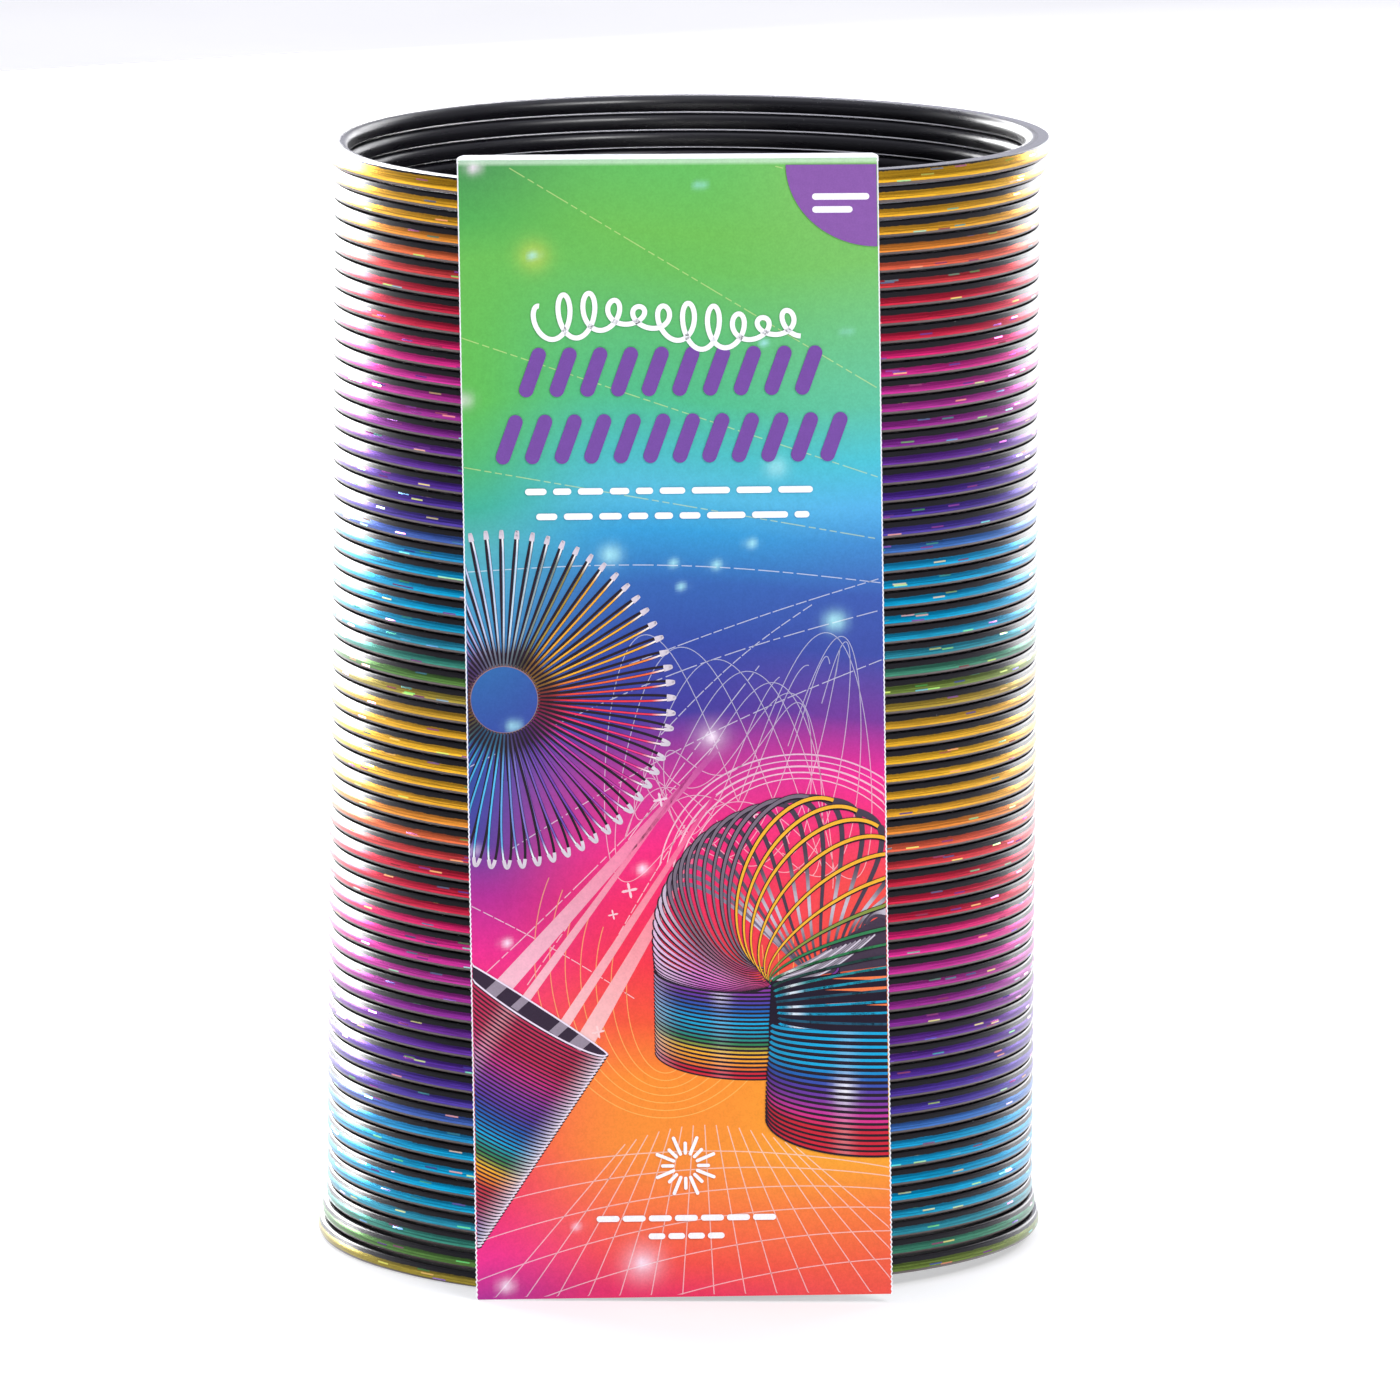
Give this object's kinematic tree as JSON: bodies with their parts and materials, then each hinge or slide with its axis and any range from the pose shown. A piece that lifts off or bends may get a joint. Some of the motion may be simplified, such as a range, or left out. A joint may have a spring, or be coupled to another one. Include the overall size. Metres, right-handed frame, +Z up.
{
  "type": "spring coil toy",
  "caption": "Closed walking spring coil toy wound from flat plastic strip with a rainbow foil band, with a folded card hooked over its rim.",
  "frame": {"origin": "centre of the surface that the coil stands on, on the coil's axis", "axes": "+Z up along the coil's axis, -Y towards the card, +X to the right as the card is read"},
  "size_m": [0.0974, 0.0975, 0.1519],
  "materials": {
    "coil": "glossy black plastic strip with a rainbow foil band stamped on its outer face",
    "card": "coated printed card, gloss, white inside"
  },
  "bodies": {
    "base": {"bottom_end_turns": "coil", "bottom_stack": "coil"},
    "link_01": {"coil_link_01_front": "coil"},
    "link_02": {"coil_link_02_back": "coil"},
    "link_03": {"coil_link_03_front": "coil"},
    "link_04": {"coil_link_04_back": "coil"},
    "link_05": {"coil_link_05_front": "coil"},
    "link_06": {"coil_link_06_back": "coil"},
    "link_07": {"coil_link_07_front": "coil"},
    "link_08": {"coil_link_08_back": "coil"},
    "link_09": {"coil_link_09_front": "coil"},
    "link_10": {"coil_link_10_back": "coil"},
    "link_11": {"coil_link_11_front": "coil"},
    "link_12": {"coil_link_12_back": "coil"},
    "link_13": {"coil_link_13_front": "coil"},
    "link_14": {"coil_link_14_back": "coil"},
    "link_15": {"coil_link_15_front": "coil"},
    "link_16": {"coil_link_16_back": "coil"},
    "link_17": {"coil_link_17_front": "coil"},
    "link_18": {"coil_link_18_back": "coil"},
    "link_19": {"coil_link_19_front": "coil"},
    "link_20": {"coil_link_20_back": "coil"},
    "link_21": {"coil_link_21_front": "coil"},
    "link_22": {"coil_link_22_back": "coil"},
    "link_23": {"coil_link_23_front": "coil"},
    "link_24": {"coil_link_24_back": "coil"},
    "link_25": {"coil_link_25_front": "coil"},
    "link_26": {"coil_link_26_back": "coil"},
    "link_27": {"coil_link_27_front": "coil"},
    "link_28": {"coil_link_28_back": "coil"},
    "link_29": {"coil_link_29_front": "coil"},
    "link_30": {"coil_link_30_back": "coil"},
    "link_31": {"coil_link_31_front": "coil"},
    "link_32": {"coil_link_32_back": "coil"},
    "link_33": {"coil_link_33_front": "coil"},
    "link_34": {"coil_link_34_back": "coil"},
    "link_35": {"coil_link_35_front": "coil"},
    "link_36": {"coil_link_36_back": "coil"},
    "link_37": {"coil_link_37_front": "coil"},
    "link_38": {"coil_link_38_back": "coil"},
    "link_39": {"coil_link_39_front": "coil"},
    "link_40": {"coil_link_40_back": "coil"},
    "link_41": {"coil_link_41_front": "coil"},
    "link_42": {"coil_link_42_back": "coil"},
    "link_43": {"coil_link_43_front": "coil"},
    "link_44": {"coil_link_44_back": "coil"},
    "link_45": {"coil_link_45_front": "coil"},
    "link_46": {"coil_link_46_back": "coil"},
    "link_47": {"coil_link_47_front": "coil"},
    "top": {"top_stack": "coil", "top_end_turns": "coil"},
    "sleeve": {"card_sleeve": "card"}
  },
  "joints": [
    {"name": "arch_right_01", "type": "hinge", "parent": "base", "child": "link_01", "pos_m": [0.0475, 0, 0.04925], "axis": [0, 1, 0], "range_deg": [0, 7.5], "stiffness_Nm_per_rad": 0.19},
    {"name": "arch_left_01", "type": "hinge", "parent": "link_01", "child": "link_02", "pos_m": [-0.0475, 0, 0.05042], "axis": [0, -1, 0], "range_deg": [0, 7.5], "stiffness_Nm_per_rad": 0.19},
    {"name": "arch_right_02", "type": "hinge", "parent": "link_02", "child": "link_03", "pos_m": [0.0475, 0, 0.0516], "axis": [0, 1, 0], "range_deg": [0, 7.5], "stiffness_Nm_per_rad": 0.19},
    {"name": "arch_left_02", "type": "hinge", "parent": "link_03", "child": "link_04", "pos_m": [-0.0475, 0, 0.05277], "axis": [0, -1, 0], "range_deg": [0, 7.5], "stiffness_Nm_per_rad": 0.19},
    {"name": "arch_right_03", "type": "hinge", "parent": "link_04", "child": "link_05", "pos_m": [0.0475, 0, 0.05394], "axis": [0, 1, 0], "range_deg": [0, 7.5], "stiffness_Nm_per_rad": 0.19},
    {"name": "arch_left_03", "type": "hinge", "parent": "link_05", "child": "link_06", "pos_m": [-0.0475, 0, 0.05511], "axis": [0, -1, 0], "range_deg": [0, 7.5], "stiffness_Nm_per_rad": 0.19},
    {"name": "arch_right_04", "type": "hinge", "parent": "link_06", "child": "link_07", "pos_m": [0.0475, 0, 0.05629], "axis": [0, 1, 0], "range_deg": [0, 7.5], "stiffness_Nm_per_rad": 0.19},
    {"name": "arch_left_04", "type": "hinge", "parent": "link_07", "child": "link_08", "pos_m": [-0.0475, 0, 0.05746], "axis": [0, -1, 0], "range_deg": [0, 7.5], "stiffness_Nm_per_rad": 0.19},
    {"name": "arch_right_05", "type": "hinge", "parent": "link_08", "child": "link_09", "pos_m": [0.0475, 0, 0.05863], "axis": [0, 1, 0], "range_deg": [0, 7.5], "stiffness_Nm_per_rad": 0.19},
    {"name": "arch_left_05", "type": "hinge", "parent": "link_09", "child": "link_10", "pos_m": [-0.0475, 0, 0.0598], "axis": [0, -1, 0], "range_deg": [0, 7.5], "stiffness_Nm_per_rad": 0.19},
    {"name": "arch_right_06", "type": "hinge", "parent": "link_10", "child": "link_11", "pos_m": [0.0475, 0, 0.06098], "axis": [0, 1, 0], "range_deg": [0, 7.5], "stiffness_Nm_per_rad": 0.19},
    {"name": "arch_left_06", "type": "hinge", "parent": "link_11", "child": "link_12", "pos_m": [-0.0475, 0, 0.06215], "axis": [0, -1, 0], "range_deg": [0, 7.5], "stiffness_Nm_per_rad": 0.19},
    {"name": "arch_right_07", "type": "hinge", "parent": "link_12", "child": "link_13", "pos_m": [0.0475, 0, 0.06332], "axis": [0, 1, 0], "range_deg": [0, 7.5], "stiffness_Nm_per_rad": 0.19},
    {"name": "arch_left_07", "type": "hinge", "parent": "link_13", "child": "link_14", "pos_m": [-0.0475, 0, 0.06449], "axis": [0, -1, 0], "range_deg": [0, 7.5], "stiffness_Nm_per_rad": 0.19},
    {"name": "arch_right_08", "type": "hinge", "parent": "link_14", "child": "link_15", "pos_m": [0.0475, 0, 0.06567], "axis": [0, 1, 0], "range_deg": [0, 7.5], "stiffness_Nm_per_rad": 0.19},
    {"name": "arch_left_08", "type": "hinge", "parent": "link_15", "child": "link_16", "pos_m": [-0.0475, 0, 0.06684], "axis": [0, -1, 0], "range_deg": [0, 7.5], "stiffness_Nm_per_rad": 0.19},
    {"name": "arch_right_09", "type": "hinge", "parent": "link_16", "child": "link_17", "pos_m": [0.0475, 0, 0.06801], "axis": [0, 1, 0], "range_deg": [0, 7.5], "stiffness_Nm_per_rad": 0.19},
    {"name": "arch_left_09", "type": "hinge", "parent": "link_17", "child": "link_18", "pos_m": [-0.0475, 0, 0.06918], "axis": [0, -1, 0], "range_deg": [0, 7.5], "stiffness_Nm_per_rad": 0.19},
    {"name": "arch_right_10", "type": "hinge", "parent": "link_18", "child": "link_19", "pos_m": [0.0475, 0, 0.07036], "axis": [0, 1, 0], "range_deg": [0, 7.5], "stiffness_Nm_per_rad": 0.19},
    {"name": "arch_left_10", "type": "hinge", "parent": "link_19", "child": "link_20", "pos_m": [-0.0475, 0, 0.07153], "axis": [0, -1, 0], "range_deg": [0, 7.5], "stiffness_Nm_per_rad": 0.19},
    {"name": "arch_right_11", "type": "hinge", "parent": "link_20", "child": "link_21", "pos_m": [0.0475, 0, 0.0727], "axis": [0, 1, 0], "range_deg": [0, 7.5], "stiffness_Nm_per_rad": 0.19},
    {"name": "arch_left_11", "type": "hinge", "parent": "link_21", "child": "link_22", "pos_m": [-0.0475, 0, 0.07387], "axis": [0, -1, 0], "range_deg": [0, 7.5], "stiffness_Nm_per_rad": 0.19},
    {"name": "arch_right_12", "type": "hinge", "parent": "link_22", "child": "link_23", "pos_m": [0.0475, 0, 0.07505], "axis": [0, 1, 0], "range_deg": [0, 7.5], "stiffness_Nm_per_rad": 0.19},
    {"name": "arch_left_12", "type": "hinge", "parent": "link_23", "child": "link_24", "pos_m": [-0.0475, 0, 0.07622], "axis": [0, -1, 0], "range_deg": [0, 7.5], "stiffness_Nm_per_rad": 0.19},
    {"name": "arch_right_13", "type": "hinge", "parent": "link_24", "child": "link_25", "pos_m": [0.0475, 0, 0.07739], "axis": [0, 1, 0], "range_deg": [0, 7.5], "stiffness_Nm_per_rad": 0.19},
    {"name": "arch_left_13", "type": "hinge", "parent": "link_25", "child": "link_26", "pos_m": [-0.0475, 0, 0.07856], "axis": [0, -1, 0], "range_deg": [0, 7.5], "stiffness_Nm_per_rad": 0.19},
    {"name": "arch_right_14", "type": "hinge", "parent": "link_26", "child": "link_27", "pos_m": [0.0475, 0, 0.07974], "axis": [0, 1, 0], "range_deg": [0, 7.5], "stiffness_Nm_per_rad": 0.19},
    {"name": "arch_left_14", "type": "hinge", "parent": "link_27", "child": "link_28", "pos_m": [-0.0475, 0, 0.08091], "axis": [0, -1, 0], "range_deg": [0, 7.5], "stiffness_Nm_per_rad": 0.19},
    {"name": "arch_right_15", "type": "hinge", "parent": "link_28", "child": "link_29", "pos_m": [0.0475, 0, 0.08208], "axis": [0, 1, 0], "range_deg": [0, 7.5], "stiffness_Nm_per_rad": 0.19},
    {"name": "arch_left_15", "type": "hinge", "parent": "link_29", "child": "link_30", "pos_m": [-0.0475, 0, 0.08325], "axis": [0, -1, 0], "range_deg": [0, 7.5], "stiffness_Nm_per_rad": 0.19},
    {"name": "arch_right_16", "type": "hinge", "parent": "link_30", "child": "link_31", "pos_m": [0.0475, 0, 0.08443], "axis": [0, 1, 0], "range_deg": [0, 7.5], "stiffness_Nm_per_rad": 0.19},
    {"name": "arch_left_16", "type": "hinge", "parent": "link_31", "child": "link_32", "pos_m": [-0.0475, 0, 0.0856], "axis": [0, -1, 0], "range_deg": [0, 7.5], "stiffness_Nm_per_rad": 0.19},
    {"name": "arch_right_17", "type": "hinge", "parent": "link_32", "child": "link_33", "pos_m": [0.0475, 0, 0.08677], "axis": [0, 1, 0], "range_deg": [0, 7.5], "stiffness_Nm_per_rad": 0.19},
    {"name": "arch_left_17", "type": "hinge", "parent": "link_33", "child": "link_34", "pos_m": [-0.0475, 0, 0.08794], "axis": [0, -1, 0], "range_deg": [0, 7.5], "stiffness_Nm_per_rad": 0.19},
    {"name": "arch_right_18", "type": "hinge", "parent": "link_34", "child": "link_35", "pos_m": [0.0475, 0, 0.08912], "axis": [0, 1, 0], "range_deg": [0, 7.5], "stiffness_Nm_per_rad": 0.19},
    {"name": "arch_left_18", "type": "hinge", "parent": "link_35", "child": "link_36", "pos_m": [-0.0475, 0, 0.09029], "axis": [0, -1, 0], "range_deg": [0, 7.5], "stiffness_Nm_per_rad": 0.19},
    {"name": "arch_right_19", "type": "hinge", "parent": "link_36", "child": "link_37", "pos_m": [0.0475, 0, 0.09146], "axis": [0, 1, 0], "range_deg": [0, 7.5], "stiffness_Nm_per_rad": 0.19},
    {"name": "arch_left_19", "type": "hinge", "parent": "link_37", "child": "link_38", "pos_m": [-0.0475, 0, 0.09263], "axis": [0, -1, 0], "range_deg": [0, 7.5], "stiffness_Nm_per_rad": 0.19},
    {"name": "arch_right_20", "type": "hinge", "parent": "link_38", "child": "link_39", "pos_m": [0.0475, 0, 0.09381], "axis": [0, 1, 0], "range_deg": [0, 7.5], "stiffness_Nm_per_rad": 0.19},
    {"name": "arch_left_20", "type": "hinge", "parent": "link_39", "child": "link_40", "pos_m": [-0.0475, 0, 0.09498], "axis": [0, -1, 0], "range_deg": [0, 7.5], "stiffness_Nm_per_rad": 0.19},
    {"name": "arch_right_21", "type": "hinge", "parent": "link_40", "child": "link_41", "pos_m": [0.0475, 0, 0.09615], "axis": [0, 1, 0], "range_deg": [0, 7.5], "stiffness_Nm_per_rad": 0.19},
    {"name": "arch_left_21", "type": "hinge", "parent": "link_41", "child": "link_42", "pos_m": [-0.0475, 0, 0.09732], "axis": [0, -1, 0], "range_deg": [0, 7.5], "stiffness_Nm_per_rad": 0.19},
    {"name": "arch_right_22", "type": "hinge", "parent": "link_42", "child": "link_43", "pos_m": [0.0475, 0, 0.0985], "axis": [0, 1, 0], "range_deg": [0, 7.5], "stiffness_Nm_per_rad": 0.19},
    {"name": "arch_left_22", "type": "hinge", "parent": "link_43", "child": "link_44", "pos_m": [-0.0475, 0, 0.09967], "axis": [0, -1, 0], "range_deg": [0, 7.5], "stiffness_Nm_per_rad": 0.19},
    {"name": "arch_right_23", "type": "hinge", "parent": "link_44", "child": "link_45", "pos_m": [0.0475, 0, 0.10084], "axis": [0, 1, 0], "range_deg": [0, 7.5], "stiffness_Nm_per_rad": 0.19},
    {"name": "arch_left_23", "type": "hinge", "parent": "link_45", "child": "link_46", "pos_m": [-0.0475, 0, 0.10201], "axis": [0, -1, 0], "range_deg": [0, 7.5], "stiffness_Nm_per_rad": 0.19},
    {"name": "arch_right_24", "type": "hinge", "parent": "link_46", "child": "link_47", "pos_m": [0.0475, 0, 0.10319], "axis": [0, 1, 0], "range_deg": [0, 7.5], "stiffness_Nm_per_rad": 0.19},
    {"name": "arch_left_24", "type": "hinge", "parent": "link_47", "child": "top", "pos_m": [-0.0475, 0, 0.10436], "axis": [0, -1, 0], "range_deg": [0, 7.5], "stiffness_Nm_per_rad": 0.19},
    {"name": "sleeve_lift", "type": "slide", "parent": "top", "child": "sleeve", "axis": [0, 0, 1], "range_m": [0, 0.06]}
  ],
  "couplings": [
    {"joint": "arch_right_02", "follows": "arch_right_01", "ratio": 1},
    {"joint": "arch_left_02", "follows": "arch_left_01", "ratio": 1},
    {"joint": "arch_right_03", "follows": "arch_right_01", "ratio": 1},
    {"joint": "arch_left_03", "follows": "arch_left_01", "ratio": 1},
    {"joint": "arch_right_04", "follows": "arch_right_01", "ratio": 1},
    {"joint": "arch_left_04", "follows": "arch_left_01", "ratio": 1},
    {"joint": "arch_right_05", "follows": "arch_right_01", "ratio": 1},
    {"joint": "arch_left_05", "follows": "arch_left_01", "ratio": 1},
    {"joint": "arch_right_06", "follows": "arch_right_01", "ratio": 1},
    {"joint": "arch_left_06", "follows": "arch_left_01", "ratio": 1},
    {"joint": "arch_right_07", "follows": "arch_right_01", "ratio": 1},
    {"joint": "arch_left_07", "follows": "arch_left_01", "ratio": 1},
    {"joint": "arch_right_08", "follows": "arch_right_01", "ratio": 1},
    {"joint": "arch_left_08", "follows": "arch_left_01", "ratio": 1},
    {"joint": "arch_right_09", "follows": "arch_right_01", "ratio": 1},
    {"joint": "arch_left_09", "follows": "arch_left_01", "ratio": 1},
    {"joint": "arch_right_10", "follows": "arch_right_01", "ratio": 1},
    {"joint": "arch_left_10", "follows": "arch_left_01", "ratio": 1},
    {"joint": "arch_right_11", "follows": "arch_right_01", "ratio": 1},
    {"joint": "arch_left_11", "follows": "arch_left_01", "ratio": 1},
    {"joint": "arch_right_12", "follows": "arch_right_01", "ratio": 1},
    {"joint": "arch_left_12", "follows": "arch_left_01", "ratio": 1},
    {"joint": "arch_right_13", "follows": "arch_right_01", "ratio": 1},
    {"joint": "arch_left_13", "follows": "arch_left_01", "ratio": 1},
    {"joint": "arch_right_14", "follows": "arch_right_01", "ratio": 1},
    {"joint": "arch_left_14", "follows": "arch_left_01", "ratio": 1},
    {"joint": "arch_right_15", "follows": "arch_right_01", "ratio": 1},
    {"joint": "arch_left_15", "follows": "arch_left_01", "ratio": 1},
    {"joint": "arch_right_16", "follows": "arch_right_01", "ratio": 1},
    {"joint": "arch_left_16", "follows": "arch_left_01", "ratio": 1},
    {"joint": "arch_right_17", "follows": "arch_right_01", "ratio": 1},
    {"joint": "arch_left_17", "follows": "arch_left_01", "ratio": 1},
    {"joint": "arch_right_18", "follows": "arch_right_01", "ratio": 1},
    {"joint": "arch_left_18", "follows": "arch_left_01", "ratio": 1},
    {"joint": "arch_right_19", "follows": "arch_right_01", "ratio": 1},
    {"joint": "arch_left_19", "follows": "arch_left_01", "ratio": 1},
    {"joint": "arch_right_20", "follows": "arch_right_01", "ratio": 1},
    {"joint": "arch_left_20", "follows": "arch_left_01", "ratio": 1},
    {"joint": "arch_right_21", "follows": "arch_right_01", "ratio": 1},
    {"joint": "arch_left_21", "follows": "arch_left_01", "ratio": 1},
    {"joint": "arch_right_22", "follows": "arch_right_01", "ratio": 1},
    {"joint": "arch_left_22", "follows": "arch_left_01", "ratio": 1},
    {"joint": "arch_right_23", "follows": "arch_right_01", "ratio": 1},
    {"joint": "arch_left_23", "follows": "arch_left_01", "ratio": 1},
    {"joint": "arch_right_24", "follows": "arch_right_01", "ratio": 1},
    {"joint": "arch_left_24", "follows": "arch_left_01", "ratio": 1}
  ]
}
